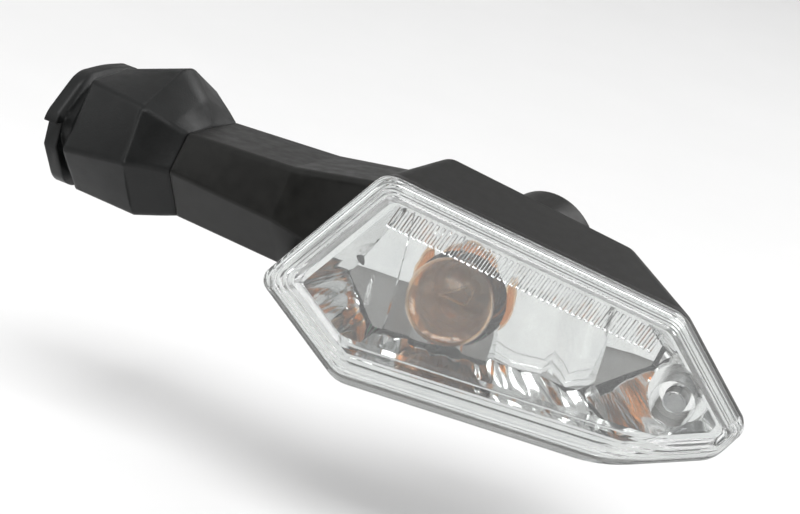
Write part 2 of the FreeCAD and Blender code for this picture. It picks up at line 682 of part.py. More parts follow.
def make_socket_shell():
    """Steel bayonet tube with two slots: an open leg, then a lip that keeps each pin in."""
    inner = size("socket_radius")
    outer = inner + size("socket_wall")
    low = -size("socket_back")
    high = size("socket_front")
    shape = Part.makeCylinder(outer, high - low, Vector(0, 0, low))
    shape = shape.cut(Part.makeCylinder(inner, high - low, Vector(0, 0, low)))
    margin = 11.0
    turn = size("turn_travel")
    slot_low = size("pin_height") - size("pin_radius") - size("press_travel") - 0.1

    def sector(start, sweep, bottom, top):
        """A wedge of the tube's wall between two angles and two heights."""
        wedge = Part.makeCylinder(outer + 1, top - bottom, Vector(0, 0, bottom), Z_AXIS, sweep)
        wedge.rotate(Vector(0, 0, 0), Z_AXIS, start)
        return wedge

    for angle in PIN_ANGLES:
        pocket_part = sector(angle - margin, turn + 2 * margin, slot_low, size("slot_lip"))
        leg = sector(angle + turn - margin, 2 * margin, slot_low, high + 1)
        shape = shape.cut(pocket_part).cut(leg)
    return own_shape("socket_shell", shape.removeSplitter(), BULB)


PIN_ANGLES = (15.0, 165.0)


def make_socket_base():
    """Insulating disc that closes the socket's back, with a hole for the live strip."""
    thick = size("base_thick")
    low = -size("socket_back")
    shape = Part.makeCylinder(size("socket_radius") - 0.02, thick, Vector(0, 0, low))
    shape = shape.cut(Part.makeCylinder(1.2, thick, Vector(0, 0, low)))
    own_shape("socket_base", shape, BULB)


def make_terminals():
    """Brass strips behind the socket that end at the two leads."""
    strip = 0.5
    low = -size("socket_back") - strip
    drop = size("lead_drop") + size("lead_radius")
    pitch = size("lead_pitch")
    width = 1.8
    live = Part.makeBox(width, drop, strip, Vector(-pitch - width / 2, -drop, low))
    rivet = Part.makeCylinder(1.1, strip + size("base_thick"), Vector(0, 0, low))
    pad_ring = Part.makeBox(pitch + 1.1, 2.2, strip, Vector(-pitch, -1.1, low))
    own_shape("live_terminal", live.fuse(rivet).fuse(pad_ring).removeSplitter(), BULB)
    reach = size("socket_radius") + size("socket_wall")
    ground = Part.makeBox(width, drop - 6.0, strip, Vector(pitch - width / 2, -drop, low))
    foot = Part.makeBox(width, 1.0, strip, Vector(pitch - width / 2, -reach, low))
    own_shape("ground_terminal", ground.fuse(foot).removeSplitter(), BULB)


def make_socket_spring():
    """Compression spring between the socket's base and the contact carrier."""
    wire = size("spring_wire")
    low = -size("socket_back") + size("base_thick") + wire + 0.02
    high = -size("carrier_top") - size("carrier_thick") - wire - 0.05
    sweep = 2 * math.pi * size("spring_turns")
    steps = 32
    points = []
    for step in range(steps + 1):
        share = step / steps
        spoke = Vector(math.cos(share * sweep), math.sin(share * sweep), 0)
        points.append(spoke * size("spring_radius") + Vector(0, 0, (high - low) * share))
    coil = Part.BSplineCurve()
    coil.interpolate(points)
    heading = coil.tangent(coil.FirstParameter)[0]
    ring = Part.Wire([Part.Circle(points[0], heading, wire).toShape()])
    shape = Part.Wire([coil.toShape()]).makePipeShell([ring], True, False)
    own_shape("socket_spring", shape, in_bulb(low))


def make_contact():
    """Insulating carrier that the spring pushes, with a brass button in its middle."""
    top = -size("carrier_top")
    thick = size("carrier_thick")
    disc = Part.makeCylinder(size("carrier_radius"), thick, Vector(0, 0, top - thick))
    disc = disc.cut(Part.makeCylinder(2.0, thick, Vector(0, 0, top - thick)))
    own_shape("contact_carrier", disc, BULB)
    button = Part.makeCylinder(2.0, thick + 0.05, Vector(0, 0, top - thick))
    own_shape("contact_button", button, BULB)


# ---------------------------------------------------------------- bulb

def turned(points, bulge=None):
    """Solid of revolution about Z from a closed profile of (radius, height) points.

    bulge maps the index of an edge to the middle point of an arc that takes its place.
    """
    bulge = bulge or {}
    edges = []
    for index, start in enumerate(points):
        end = points[(index + 1) % len(points)]
        first = Vector(start[0], 0, start[1])
        last = Vector(end[0], 0, end[1])
        if index in bulge:
            middle = Vector(bulge[index][0], 0, bulge[index][1])
            edges.append(Part.Arc(first, middle, last).toShape())
        else:
            edges.append(Part.makeLine(first, last))
    return Part.Face(Part.Wire(edges)).revolve(Vector(0, 0, 0), Z_AXIS, 360)


def globe_profile(radius, neck, low):
    """Profile of a round envelope on a neck: axis, neck line, arc to the tip."""
    centre = size("globe_centre")
    meet = centre - math.sqrt(radius ** 2 - neck ** 2)
    points = [(0, low), (neck, low), (neck, meet), (0, centre + radius)]
    return points, {2: (radius, centre)}


def make_bulb():
    """Amber bayonet bulb: envelope, cap, pins, insulator, contact, stem, wires and filament."""
    outer_points, outer_arc = globe_profile(size("globe_radius"), size("glass_neck_radius"), 12.0)
    wall = size("glass_wall")
    inner_points, inner_arc = globe_profile(size("globe_radius") - wall,
                                            size("glass_neck_radius") - wall, 12.0)
    glass = turned(outer_points, outer_arc).cut(turned(inner_points, inner_arc))
    own_shape("bulb_glass", glass, BULB)
    cap = Part.makeCylinder(size("cap_radius"), size("cap_length") - size("cap_floor"),
                            Vector(0, 0, size("cap_floor")))
    inside = size("cap_radius") - size("cap_wall")
    cap = cap.cut(Part.makeCylinder(inside, size("cap_length"), Vector(0, 0, size("cap_floor"))))
    own_shape("bulb_cap", cap, BULB)
    pins = []
    for angle in PIN_ANGLES:
        pin = Part.makeCylinder(size("pin_radius"), size("pin_reach") - size("cap_radius"),
                                Vector(size("cap_radius"), 0, size("pin_height")), X_AXIS)
        trim = Part.makeCylinder(size("cap_radius"), size("cap_length"))
        pin = pin.cut(trim)
        pin.rotate(Vector(0, 0, 0), Z_AXIS, angle)
        pins.append(pin)
    own_shape("bulb_pins", Part.makeCompound(pins), BULB)
    plug = turned([(size("nib_radius"), 0.2), (6.6, 0.2), (6.9, size("cap_floor")),
                   (inside - 0.02, size("cap_floor")), (inside - 0.02, 3.0),
                   (size("nib_radius"), 3.0)])
    own_shape("bulb_insulator", plug, BULB)
    nib_low = -size("carrier_top") + 0.15
    nib = Part.makeCylinder(size("nib_radius"), 3.0 - nib_low, Vector(0, 0, nib_low))
    own_shape("bulb_contact", nib, BULB)
    inner_neck = size("glass_neck_radius") - wall
    stem = turned([(0, 12.0), (inner_neck - 0.02, 12.0), (inner_neck - 0.02, 13.0),
                   (2.4, 15.0), (1.6, 19.5), (0, 19.5)])
    own_shape("bulb_stem", stem, BULB)
    make_filament()


def rod(start, end, radius):
    """A round wire between two points."""
    run = end - start
    return Part.makeCylinder(radius, run.Length, start, run)


def make_filament():
    """Two support wires out of the stem and a coiled filament between their tips."""
    spread = 3.2
    foot = Vector(1.0, 0, 19.65)
    height = 26.5
    wires = []
    for side in (-1, 1):
        start = Vector(side * foot.x, 0, foot.z)
        tip = Vector(side * spread, 0, height)
        wires.append(rod(start, tip, 0.22))
    own_shape("filament_supports", Part.makeCompound(wires), BULB)
    reach = spread - 0.4
    coil = Part.makeCylinder(0.32, 2 * reach, Vector(-reach, 0, height - 0.1), X_AXIS)
    own_shape("filament", coil, BULB)


# ---------------------------------------------------------------- leads

def tube(points, bends, radius):
    """A round lead along straight runs joined by tangent arcs of the given radii."""
    edges = []
    start = points[0]
    for index in range(1, len(points) - 1):
        corner = points[index]
        back = (points[index - 1] - corner).normalize()
        ahead = (points[index + 1] - corner).normalize()
        half = back.getAngle(ahead) / 2
        bend = bends[index - 1]
        reach = bend / math.tan(half)
        bisector = (back + ahead).normalize()
        middle = corner + bisector * (bend / math.sin(half) - bend)
        edges.append(Part.makeLine(start, corner + back * reach))
        edges.append(Part.Arc(corner + back * reach, middle, corner + ahead * reach).toShape())
        start = corner + ahead * reach
    edges.append(Part.makeLine(start, points[-1]))
    path = Part.Wire(edges)
    ring = Part.Circle(points[0], points[1] - points[0], radius).toShape()
    return path.makePipeShell([Part.Wire([ring])], True, True)


def make_leads():
    """Live and ground leads from the socket's terminals to the gland in the neck."""
    pitch = size("lead_pitch")
    drop = size("lead_drop")
    for name, side in (("live_lead", -1), ("ground_lead", 1)):
        low = BULB.multVec(Vector(side * pitch, -drop, -size("socket_back")))
        out = BULB.multVec(Vector(side * pitch, -drop, 20.6 + side * pitch))
        shelf = LAMP.multVec(Vector(14.0, 16.5 - side * pitch, -13.0))
        entry = Vector(66.0, -side * pitch, -2.0)
        gland = Vector(36.0, -side * pitch, 0)
        end = Vector(size("neck_start_x") - size("retainer_thick") + 0.2, -side * pitch, 0)
        points = [low, out, shelf, entry, gland, end]
        shape = tube(points, LEAD_BENDS, size("lead_radius"))
        own_shape(name, shape)


LEAD_BENDS = (4.5, 6.0, 12.0, 60.0)


# ---------------------------------------------------------------- build, check, write

def build():
    """Make every sub-part."""
    make_base()
    make_boot()
    make_housing()
    make_gasket()
    make_lens()
    make_lens_screw()
    make_reflector()
    make_retainer()
    make_grommet()
    make_socket_shell()
    make_socket_base()
    make_terminals()
    make_socket_spring()
    make_contact()
    make_bulb()
    make_leads()
    doc.recompute()


def check():
    """Stop if any object or any written shape is broken."""
    for item in doc.Objects:
        if "Invalid" in item.State or "Error" in item.State:
            raise ValueError("%s is %s" % (item.Name, item.State))
    for part in parts:
        if part.Shape.isNull() or not part.Shape.isValid():
            raise ValueError("%s has no valid shape" % part.Label)


def write():
    """Write each sub-part to its own STEP file."""
    os.makedirs("parts", exist_ok=True)
    for part in parts:
        part.Shape.exportStep("parts/%s.step" % part.Label)
        print("%-20s solids %d volume %.1f" % (part.Label, len(part.Shape.Solids), part.Shape.Volume))


build()
check()
write()
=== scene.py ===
import json
import math

import bmesh
import bpy
from mathutils import Matrix, Vector


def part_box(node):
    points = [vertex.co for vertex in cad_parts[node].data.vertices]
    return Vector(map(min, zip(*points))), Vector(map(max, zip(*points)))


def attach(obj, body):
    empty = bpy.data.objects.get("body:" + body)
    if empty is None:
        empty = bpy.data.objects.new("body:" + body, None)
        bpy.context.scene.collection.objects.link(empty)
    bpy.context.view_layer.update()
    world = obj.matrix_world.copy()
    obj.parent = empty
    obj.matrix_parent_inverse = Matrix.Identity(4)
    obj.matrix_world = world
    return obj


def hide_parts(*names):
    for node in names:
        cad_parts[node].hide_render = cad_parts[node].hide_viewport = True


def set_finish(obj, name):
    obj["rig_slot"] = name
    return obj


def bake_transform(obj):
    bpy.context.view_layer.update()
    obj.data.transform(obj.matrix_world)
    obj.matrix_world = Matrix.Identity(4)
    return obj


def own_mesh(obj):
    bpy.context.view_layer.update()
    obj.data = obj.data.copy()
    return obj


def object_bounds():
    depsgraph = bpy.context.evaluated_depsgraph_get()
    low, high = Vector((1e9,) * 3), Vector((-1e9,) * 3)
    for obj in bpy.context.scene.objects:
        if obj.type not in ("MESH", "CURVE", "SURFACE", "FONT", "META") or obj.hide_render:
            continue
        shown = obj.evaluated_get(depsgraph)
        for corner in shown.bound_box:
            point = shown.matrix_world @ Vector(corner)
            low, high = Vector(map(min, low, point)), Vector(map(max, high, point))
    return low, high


# Looks of a stalk-mounted turn signal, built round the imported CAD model.
# Lengths in this file are in millimetres, and place() turns them into metres. Lengths that
# end in "* MM", the stage, the lights and the camera are in metres.

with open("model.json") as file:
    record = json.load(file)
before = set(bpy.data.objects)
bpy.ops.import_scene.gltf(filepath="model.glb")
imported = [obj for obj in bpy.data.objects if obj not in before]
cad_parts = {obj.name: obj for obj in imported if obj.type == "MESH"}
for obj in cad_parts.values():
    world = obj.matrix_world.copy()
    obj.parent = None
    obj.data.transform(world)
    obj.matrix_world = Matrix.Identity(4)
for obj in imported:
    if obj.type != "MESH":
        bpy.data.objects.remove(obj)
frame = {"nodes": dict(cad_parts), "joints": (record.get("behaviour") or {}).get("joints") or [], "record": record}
NODES = frame["nodes"]
CAD_LOW, CAD_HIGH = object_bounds()
JOINTS = {joint["name"]: joint for joint in frame["joints"]}
SLOTS = {row["node"]: row["material_slot"] for row in frame["record"]["subparts"]}
MM = 0.001
WELD = 0.001 * MM


# ---------------------------------------------------------------- the lamp's own axes

def middle(node):
    """The middle of a node's box."""
    low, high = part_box(node)
    return (low + high) / 2


def flat_normal(node, towards):
    """Unit normal of a node's widest flat, on the side of another node."""
    sums = {}
    for face in NODES[node].data.polygons:
        key = tuple(round(part, 1) for part in face.normal)
        sums[key] = sums.get(key, Vector()) + face.normal * face.area
    widest = max(sums.values(), key=lambda total: total.length).normalized()
    return widest if widest.dot(middle(towards) - middle(node)) > 0 else -widest


UP = Vector((0, 0, 1))
DEPTH = flat_normal("lens", "socket_shell")
DEPTH = (DEPTH - UP * DEPTH.dot(UP)).normalized()
ALONG = DEPTH.cross(UP)


def lowest(node, axis):
    """The smallest distance along an axis that any corner of a node reaches, in metres."""
    return min(corner.co.dot(axis) for corner in NODES[node].data.vertices)


RIM_NOSE = 6.51
LAMP = ALONG * (lowest("lens", ALONG) + RIM_NOSE * MM) + DEPTH * lowest("lens_gasket", DEPTH)


def place(along, depth, up):
    """A point given in the lamp's axes, in the row frame."""
    return LAMP + (ALONG * along + DEPTH * depth + UP * up) * MM


def in_lamp(point):
    """(along, depth, up) of a row point."""
    offset = (point - LAMP) / MM
    return offset.dot(ALONG), offset.dot(DEPTH), offset.dot(UP)


# ---------------------------------------------------------------- outlines

RIM = ((-7.6, -13.4), (12.3, 15.6), (77.5, 6.4), (95.6, -12.2), (91.3, -20.0), (70.0, -28.7),
       (13.2, -29.2))
RIM_RADII = (3.0, 4.0, 6.0, 2.5, 9.0, 30.0, 7.0)
FRONT_RADII = (2.5, 3.0, 4.0, 1.0, 1.2, 18.0, 4.0)
BEVELS = (4.0, 1.6, 1.5, 2.0, 4.5, 9.7, 7.4)
SKIRT = 1.6
LENS_DEPTH = 7.6
LENS_WALL = 2.0
LENS_FOOT = -0.3


def inset(corners, amounts):
    """Move each side of a clockwise polygon inwards by its own amount."""
    count = len(corners)
    lines = []
    for index in range(count):
        start = Vector(corners[index])
        run = (Vector(corners[(index + 1) % count]) - start).normalized()
        inward = Vector((run.y, -run.x))
        lines.append((start + inward * amounts[index], run))
    moved = []
    for index in range(count):
        point_a, run_a = lines[index - 1]
        point_b, run_b = lines[index]
        gap = point_b - point_a
        reach = gap.cross(run_b) / run_a.cross(run_b)
        moved.append(point_a + run_a * reach)
    return moved


def evenly(corners, amount):
    """The polygon with every side moved inwards by one amount."""
    return inset(corners, [amount] * len(corners))


def rounded(corners, radii, arc_steps=6, side_steps=8):
    """Points round a polygon with round corners; equal counts give loops that match."""
    count = len(corners)
    arcs = []
    for index in range(count):
        corner = Vector(corners[index])
        back = (Vector(corners[index - 1]) - corner).normalized()
        ahead = (Vector(corners[(index + 1) % count]) - corner).normalized()
        half = back.angle(ahead) / 2
        reach = radii[index] / math.tan(half)
        centre = corner + (back + ahead).normalized() * radii[index] / math.sin(half)
        first = corner + back * reach - centre
        last = corner + ahead * reach - centre
        turn = first.angle_signed(last)
        spokes = [first.copy() for _ in range(arc_steps + 1)]
        for step, spoke in enumerate(spokes):
            spoke.rotate(Matrix.Rotation(-turn * step / arc_steps, 2))
        arcs.append([centre + spoke for spoke in spokes])
    points = []
    for index, arc in enumerate(arcs):
        points.extend(arc)
        after = arcs[(index + 1) % count][0]
        for step in range(1, side_steps):
            points.append(arc[-1].lerp(after, step / side_steps))
    return points


def between(first, second, share):
    """A value, tuple or list part of the way from one to another."""
    return [a + (b - a) * share for a, b in zip(first, second)]


# ---------------------------------------------------------------- mesh helpers

def new_piece(name, mesh, body, slot=None, smooth_angle=30.0):
    """An object from a bmesh, riding on a CAD body."""
    data = bpy.data.meshes.new(name)
    bmesh.ops.recalc_face_normals(mesh, faces=mesh.faces)
    mesh.to_mesh(data)
    mesh.free()
    piece = bpy.data.objects.new(name, data)
    bpy.context.scene.collection.objects.link(piece)
    data.shade_smooth()
    data.set_sharp_from_angle(angle=math.radians(smooth_angle))
    if body:
        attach(piece, body)
    if slot:
        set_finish(piece, slot)
    return piece


def add_loop(mesh, points, depth):
    """Corners of one loop of (along, up) points at a depth."""
    return [mesh.verts.new(place(point.x, depth, point.y)) for point in points]


def skin(mesh, first, second):
    """Quads between two matching loops."""
    count = len(first)
    for index in range(count):
        after = (index + 1) % count
        mesh.faces.new((first[index], first[after], second[after], second[index]))


def skin_all(mesh, loops):
    """Quads through a list of matching loops."""
    for first, second in zip(loops, loops[1:]):
        skin(mesh, first, second)


def skin_grid(mesh, grid):
    """Quads between the open rows of a grid."""
    for first, second in zip(grid, grid[1:]):
        for index in range(len(first) - 1):
            mesh.faces.new((first[index], second[index], second[index + 1], first[index + 1]))


def baked(piece):
    """Make a piece's modifiers part of its mesh."""
    bpy.context.view_layer.update()
    evaluated = piece.evaluated_get(bpy.context.evaluated_depsgraph_get())
    data = bpy.data.meshes.new_from_object(evaluated)
    piece.modifiers.clear()
    piece.data = data
    return piece


def joined(piece, tool, operation):
    """Boolean of a piece with a tool, which is then removed."""
    modifier = piece.modifiers.new(operation.lower(), "BOOLEAN")
    modifier.operation = operation
    modifier.solver = "EXACT"
    modifier.object = tool
    baked(piece)
    bpy.data.objects.remove(tool)
    return piece


def add_prism(mesh, base, top):
    """A closed prism between two matching rings of row points."""
    lower = [mesh.verts.new(point) for point in base]
    upper = [mesh.verts.new(point) for point in top]
    skin(mesh, lower, upper)
    mesh.faces.new(lower[::-1])
    mesh.faces.new(upper)


def ring_points(centre, radius, depth, steps):
    """Points round a circle square to the lamp's depth axis."""
    turns = [2 * math.pi * step / steps for step in range(steps)]
    return [place(centre[0] + radius * math.cos(turn), depth, centre[1] + radius * math.sin(turn))
            for turn in turns]


# ---------------------------------------------------------------- lens

FRONT = inset(RIM, BEVELS)
GROOVES = (0.2, 0.42, 0.62, 0.8)
GROOVE_HALF = 0.035
GROOVE_CUT = 0.34
CUT_SINK = 0.6
BEVEL_START = 0.03
BEVEL_END = 0.96
ROOF_SHARE = 0.7
LENS_SMOOTH = 12.0
EDGE_CUT = 0.3
SCREW_ALONG, _, SCREW_UP = in_lamp(middle("lens_screw"))
BOSS_RADIUS = 4.6
BOSS_END = 2.7
BOSS_SINK = 1.0
HOLE_RADIUS = 2.05
HOLE_START = -4.0
CIRCLE_STEPS = 48


def bevel_loop(mesh, share, cut):
    """One loop of the lens's bevel, from the skirt at 0 to the front at 1."""
    corners = [between(a, b, share) for a, b in zip(RIM, FRONT)]
    radii = between(RIM_RADII, FRONT_RADII, share)
    depth = -SKIRT - (LENS_DEPTH - SKIRT) * share
    return add_loop(mesh, rounded(evenly(corners, cut), radii), depth + cut * CUT_SINK)


def lens_shell():
    """Skirt, fluted bevel, flat front and the room behind them, as one closed mesh."""
    mesh = bmesh.new()
    rim = rounded(RIM, RIM_RADII)
    outer = [add_loop(mesh, rim, LENS_FOOT), add_loop(mesh, rim, EDGE_CUT - SKIRT)]
    outer.append(bevel_loop(mesh, BEVEL_START, 0.0))
    for share in GROOVES:
        outer.append(bevel_loop(mesh, share - GROOVE_HALF, 0.0))
        outer.append(bevel_loop(mesh, share, GROOVE_CUT))
        outer.append(bevel_loop(mesh, share + GROOVE_HALF, 0.0))
    outer.append(bevel_loop(mesh, BEVEL_END, 0.0))
    outer.append(add_loop(mesh, rounded(evenly(FRONT, EDGE_CUT), FRONT_RADII), -LENS_DEPTH))
    skin_all(mesh, outer)
    mesh.faces.new(outer[-1])
    wall = rounded(evenly(RIM, LENS_WALL), RIM_RADII)
    roof = rounded(evenly(FRONT, LENS_WALL * ROOF_SHARE), FRONT_RADII)
    inner = [add_loop(mesh, wall, LENS_FOOT), add_loop(mesh, wall, -SKIRT)]
    inner.append(add_loop(mesh, roof, LENS_WALL - LENS_DEPTH))
    skin_all(mesh, inner)
    mesh.faces.new(inner[-1])
    skin(mesh, outer[0], inner[0])
    return new_piece("lens_clear_cover", mesh, None, smooth_angle=LENS_SMOOTH)


RIB_COUNT = 43
RIB_LEAN = math.radians(20)
RIB_WIDTH = 1.05
RIB_LENGTH = 5.0
RIB_HEIGHT = 0.9
RIB_FOOT = 0.3
RIB_HEAD = 0.2
RIB_TOP_SHARE = 0.2
RIB_MARGIN = 0.7
RIB_START = 1.2
RIB_SINK = 0.4


def rib_comb():
    """Short leaning prisms under the top edge, on the inner face of the front."""
    mesh = bmesh.new()
    edge = evenly(FRONT, LENS_WALL * ROOF_SHARE + RIB_MARGIN)
    start, end = edge[1], edge[2]
    down = Vector((-math.sin(RIB_LEAN), -math.cos(RIB_LEAN)))
    across = Vector((-down.y, down.x)) * -1
    floor = LENS_WALL - LENS_DEPTH
    for index in range(RIB_COUNT):
        head = start.lerp(end, (index + RIB_START) / (RIB_COUNT + 1))
        foot = head + down * RIB_LENGTH
        base = []
        top = []
        for spot, side in ((head, -1), (head, 1), (foot, 1), (foot, -1)):
            wide = spot + across * side * RIB_WIDTH / 2
            slope = -RIB_FOOT if spot is foot else RIB_HEAD
            narrow = spot + across * side * RIB_WIDTH * RIB_TOP_SHARE + down * slope
            base.append(place(wide.x, floor - RIB_SINK, wide.y))
            top.append(place(narrow.x, floor + RIB_HEIGHT, narrow.y))
        add_prism(mesh, base, top)
    return new_piece("ribs", mesh, None)


def boss_tool(radius, start, end, name):
    """A closed cylinder on the lens screw's line between two depths."""
    mesh = bmesh.new()
    centre = (SCREW_ALONG, SCREW_UP)
    add_prism(mesh, ring_points(centre, radius, start, CIRCLE_STEPS),
              ring_points(centre, radius, end, CIRCLE_STEPS))
    return new_piece(name, mesh, None)


def make_lens():
    """Clear cover with its ribs and screw boss."""
    lens = lens_shell()
    joined(lens, rib_comb(), "UNION")
    joined(lens, boss_tool(BOSS_RADIUS, BOSS_SINK - LENS_DEPTH, BOSS_END, "boss"), "UNION")
    joined(lens, boss_tool(HOLE_RADIUS, BOSS_END + 1, HOLE_START, "boss_hole"), "DIFFERENCE")
    lens.data.set_sharp_from_angle(angle=math.radians(LENS_SMOOTH))
    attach(lens, "arm")
    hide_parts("lens")
    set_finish(lens, "lens_clear")
    return lens


# ---------------------------------------------------------------- reflector

MOUTH = inset(RIM, (6.4, 4.6, 4.6, 4.6, 5.6, 6.6, 6.4))
FLOOR = ((8.0, -10.0), (18.6, 11.4), (62.0, 6.2), (74.0, -4.4), (73.0, -9.0), (60.0, -18.6),
         (16.0, -18.6))
MOUTH_RADII = (1.0, 1.0, 1.0, 1.0, 1.0, 2.0, 1.0)
MOUTH_DEPTH = 0.8
FLOOR_DEPTH = 12.4
FACET_WIDTH = 5.6
FACET_STEPS = 6
BULGE = 0.3
WALL_ROWS = 3
WALL_OVERLAP = 0.6
ROW_SPLIT = -8.0


def wall_patch(mesh, index):
    """One side wall of the bowl, fluted along its length."""
    count = len(MOUTH)
    mouth_a, mouth_b = Vector(MOUTH[index]), Vector(MOUTH[(index + 1) % count])
    floor_a, floor_b = Vector(FLOOR[index]), Vector(FLOOR[(index + 1) % count])
    run = mouth_b - mouth_a
    facets = max(1, round(run.length / FACET_WIDTH))
    inward = Vector((run.y, -run.x)).normalized()
    columns = facets * FACET_STEPS
    grid = []
    for column in range(columns + 1):
        share = column / columns
        bulge = BULGE * (1 - (2 * ((share * facets) % 1.0) - 1) ** 2)
        line = []
        for row in range(WALL_ROWS + 1):
            fall = row / WALL_ROWS
            spot = mouth_a.lerp(mouth_b, share).lerp(floor_a.lerp(floor_b, share), fall)
            spot = spot + inward * bulge * min(1, row)
            depth = MOUTH_DEPTH + (FLOOR_DEPTH + WALL_OVERLAP - MOUTH_DEPTH) * fall
            line.append(mesh.verts.new(place(spot.x, depth, spot.y)))
        grid.append(line)
    skin_grid(mesh, grid)


RISER = 0.3
FACET_BULGE = 0.10
FACET_TURN = 0.13
RIDGE_TURN = 0.34
UPPER_RISE = 2.4
UPPER_REACH = 20.0
LOWER_ROWS = 8
UPPER_ROWS = 12
FACET_SWING = 2.4
LOWER_SLOPE = 0.23
SLOPE_CHANGE = 0.05
END_SLOPE = 0.26
RIDGE_LEFT = 8
BULB_RIGHT = 6
HOLE_MARGIN = 0.5
NECK_MARGIN = 0.9
COLLAR_DEPTH = 18.5
HOLE_SNAP = 1.5


def lower_slope(facet):
    """Slope of the lower row: leaning up beside the bulb, square past it, steep at the end."""
    if facet < BULB_RIGHT:
        return LOWER_SLOPE + SLOPE_CHANGE * math.sin(FACET_SWING * facet)
    if facet <= RIDGE_LEFT + 1:
        return 0.0
    return END_SLOPE


def facet_turn(facet):
    """Sideways slope of a facet; two of them meet in a ridge."""
    if facet == RIDGE_LEFT:
        return RIDGE_TURN
    if facet == RIDGE_LEFT + 1:
        return -RIDGE_TURN
    return FACET_TURN * math.sin(FACET_SWING * facet)


def floor_depth(facet, share, up):
    """Depth of the bowl's floor on one facet, a share of the way across it."""
    bulge = FACET_BULGE * (1 - (2 * share - 1) ** 2)
    turn = facet_turn(facet)
    run = share if turn > 0 else share - 1
    if up < ROW_SPLIT:
        rise = lower_slope(facet) * (ROW_SPLIT - up)
    else:
        rise = UPPER_RISE * ((up - ROW_SPLIT) / UPPER_REACH) ** 2
    return FLOOR_DEPTH - rise - bulge - turn * run * FACET_WIDTH


def floor_columns(left, right):
    """(facet, share, along) across the floor, with a narrow riser between facets."""
    columns = []
    for facet in range(math.ceil((right - left) / FACET_WIDTH)):
        for step in range(FACET_STEPS - 1):
            share = step / (FACET_STEPS - 2)
            along = left + FACET_WIDTH * facet + RISER / 2 + (FACET_WIDTH - RISER) * share
            columns.append((facet, share, along))
    return columns


def bulb_line(depth):
    """The point of the bulb's axis at a depth, with the depth left at 0."""
    front = Vector(in_lamp(middle("bulb_glass")))
    back = Vector(in_lamp(middle("bulb_cap")))
    spot = front.lerp(back, (depth - front.y) / (back.y - front.y))
    return Vector((spot.x, 0, spot.z))


def half_height(node):
    """Half of a node's height, in millimetres."""
    low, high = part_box(node)
    return (high.z - low.z) / MM / 2


def cut_bulb_hole(patch):
    """Open the floor round the bulb and run the hole's edge back to the neck as a collar."""
    centre = bulb_line(FLOOR_DEPTH)
    radius = half_height("bulb_glass") + HOLE_MARGIN
    neck = bulb_line(COLLAR_DEPTH)
    neck_radius = half_height("bulb_cap") + NECK_MARGIN

    def away(spot):
        return Vector((spot.x - centre.x, 0, spot.z - centre.z))

    inside = [face for face in patch.faces if away(face.calc_center_median()).length < radius]
    bmesh.ops.delete(patch, geom=inside, context="FACES")
    near = [edge for edge in patch.edges if edge.is_boundary
            and all(away(corner.co).length < radius + HOLE_SNAP for corner in edge.verts)]
    for corner in {corner for edge in near for corner in edge.verts}:
        ray = away(corner.co).normalized() * radius
        corner.co = Vector((centre.x + ray.x, corner.co.y, centre.z + ray.z))
    grown = bmesh.ops.extrude_edge_only(patch, edges=near)
    for item in grown["geom"]:
        if isinstance(item, bmesh.types.BMVert):
            ray = away(item.co).normalized() * neck_radius
            item.co = Vector((neck.x + ray.x, COLLAR_DEPTH, neck.z + ray.z))


def floor_patch(mesh):
    """The faceted floor, cut to its outline."""
    left = min(corner[0] for corner in FLOOR) - 1
    right = max(corner[0] for corner in FLOOR) + 1
    low = min(corner[1] for corner in FLOOR) - 1
    high = max(corner[1] for corner in FLOOR) + 1
    levels = [low + (ROW_SPLIT - RISER / 2 - low) * row / LOWER_ROWS
              for row in range(LOWER_ROWS + 1)]
    levels += [ROW_SPLIT + RISER / 2 + (high - ROW_SPLIT) * row / UPPER_ROWS
               for row in range(UPPER_ROWS + 1)]
    patch = bmesh.new()
    grid = []
    for facet, share, along in floor_columns(left, right):
        grid.append([patch.verts.new(Vector((along, floor_depth(facet, share, up), up)))
                     for up in levels])
    skin_grid(patch, grid)
    count = len(FLOOR)
    for index in range(count):
        start = Vector(FLOOR[index])
        run = Vector(FLOOR[(index + 1) % count]) - start
        outward = Vector((-run.y, 0, run.x))
        bmesh.ops.bisect_plane(patch, geom=patch.verts[:] + patch.edges[:] + patch.faces[:],
                               plane_co=(start.x, 0, start.y), plane_no=outward,
                               clear_outer=True)
    cut_bulb_hole(patch)
    links = {}
    for corner in patch.verts:
        links[corner] = mesh.verts.new(place(*corner.co))
    for face in patch.faces:
        mesh.faces.new([links[corner] for corner in face.verts])
    patch.free()


FLANGE_INSET = 0.35
FLANGE_DEPTH = -0.15
STEP_INSET = 2.4
STEP_DEPTH = -0.7
STEP_SLOPE = 0.3


def flange_patch(mesh):
    """The bowl's flange: a flat foot under the lens and a raised step inside it."""
    loops = []
    for amount, depth in ((FLANGE_INSET, FLANGE_DEPTH), (STEP_INSET - STEP_SLOPE, FLANGE_DEPTH),
                          (STEP_INSET, STEP_DEPTH)):
        loops.append(add_loop(mesh, rounded(evenly(RIM, amount), RIM_RADII), depth))
    mouth = rounded(MOUTH, MOUTH_RADII)
    loops.append(add_loop(mesh, mouth, STEP_DEPTH))
    loops.append(add_loop(mesh, mouth, MOUTH_DEPTH))
    skin_all(mesh, loops)


SLEEVE_RADIUS = 6.5
SLEEVE_TOP = 2.5
SLEEVE_BACK = 7.5
SLEEVE_EDGE = 0.4
BOSS_CLEARANCE = 0.15
HOLE_CLEARANCE = 0.3
CUP_GAP = 0.1


